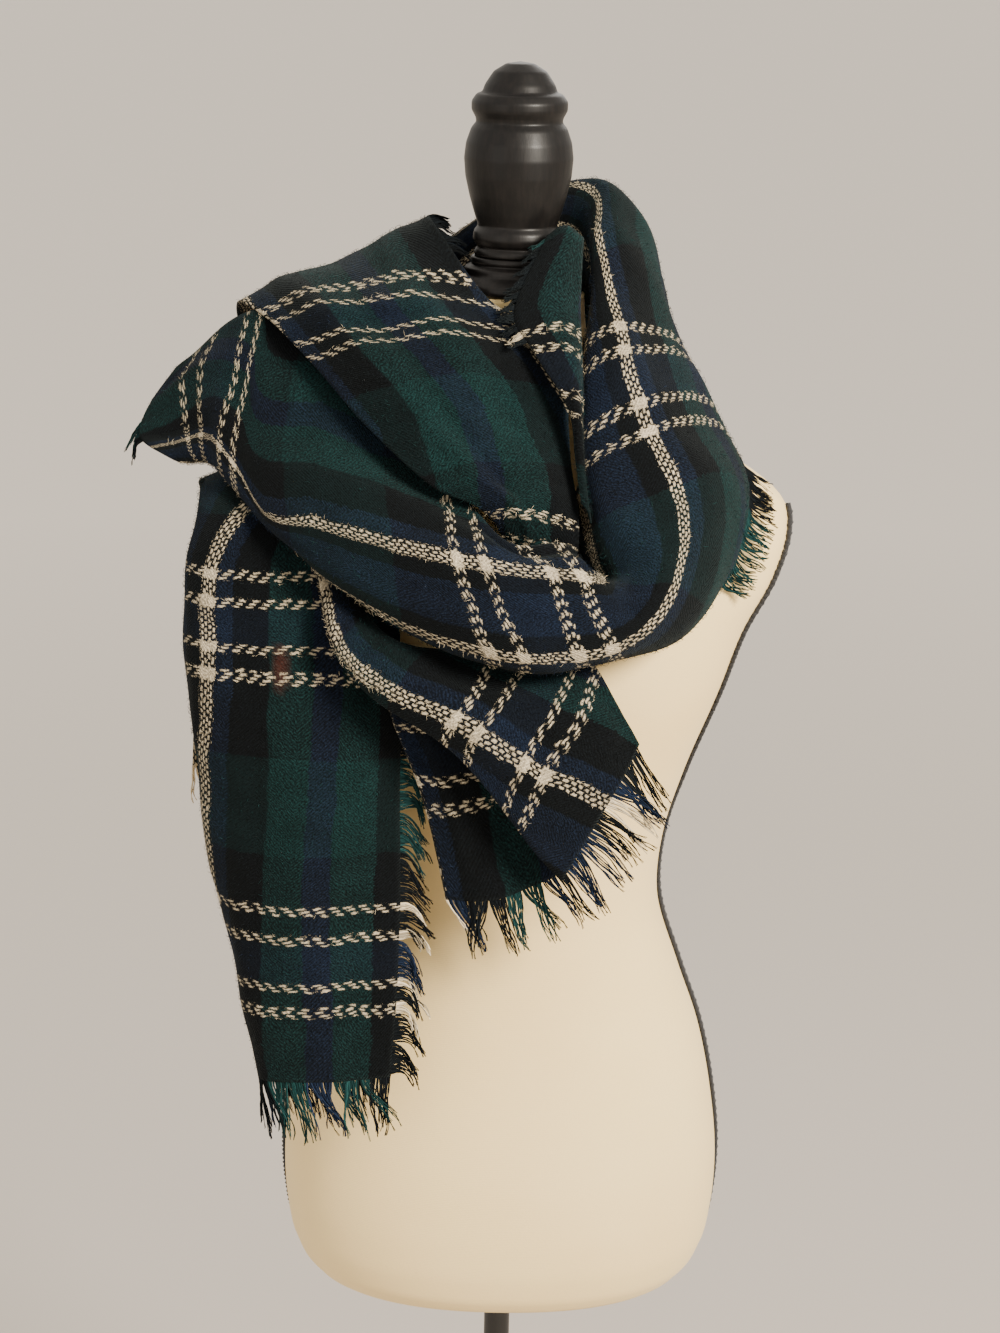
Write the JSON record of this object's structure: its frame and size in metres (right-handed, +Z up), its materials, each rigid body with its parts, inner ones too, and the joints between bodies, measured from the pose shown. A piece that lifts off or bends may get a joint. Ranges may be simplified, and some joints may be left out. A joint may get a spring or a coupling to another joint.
{
  "type": "blanket scarf on dress form",
  "caption": "Fringed plaid blanket scarf wound round the neck of a limbless dress form, with a turned finial, a pole and a round base.",
  "frame": {"origin": "centre of the base's underside, on the pole's axis", "axes": "+Z up along the pole; -Y is the front of the form; +X is the viewer's right when facing the front"},
  "size_m": [0.4902, 0.3725, 1.619],
  "materials": {
    "brushed_twill": "green, navy, black and off-white plaid in brushed 2/2 twill",
    "fringe_yarn": "loose yarns in the plaid's colours",
    "ivory_jersey": "matte ivory knitted jersey",
    "black_braid": "flat black braid",
    "black_wood": "black stained turned wood, satin lacquer",
    "black_enamel": "satin black enamel"
  },
  "bodies": {
    "root": {"front_tail": "brushed_twill", "shoulder_layer": "brushed_twill", "back_tail": "brushed_twill", "nape_wrap": "brushed_twill", "neck_loop": "brushed_twill", "cowl_swag": "brushed_twill", "shoulder_drop": "brushed_twill", "tail_pleat": "brushed_twill", "tail_flap": "brushed_twill", "upper_panel": "brushed_twill", "inner_fold": "brushed_twill", "tail_end_fringe": "fringe_yarn", "tail_side_fringe": "fringe_yarn", "back_end_fringe": "fringe_yarn", "flap_fringe": "fringe_yarn", "pleat_fringe": "fringe_yarn", "drop_fringe": "fringe_yarn", "panel_fringe": "fringe_yarn", "fold_fringe": "fringe_yarn", "shoulder_fringe": "fringe_yarn", "torso": "ivory_jersey", "braid_left": "black_braid", "braid_right": "black_braid", "neck_cap": "black_wood", "finial": "black_wood", "flange": "black_enamel", "pole": "black_enamel", "collar": "black_enamel", "base": "black_enamel"}
  },
  "joints": []
}
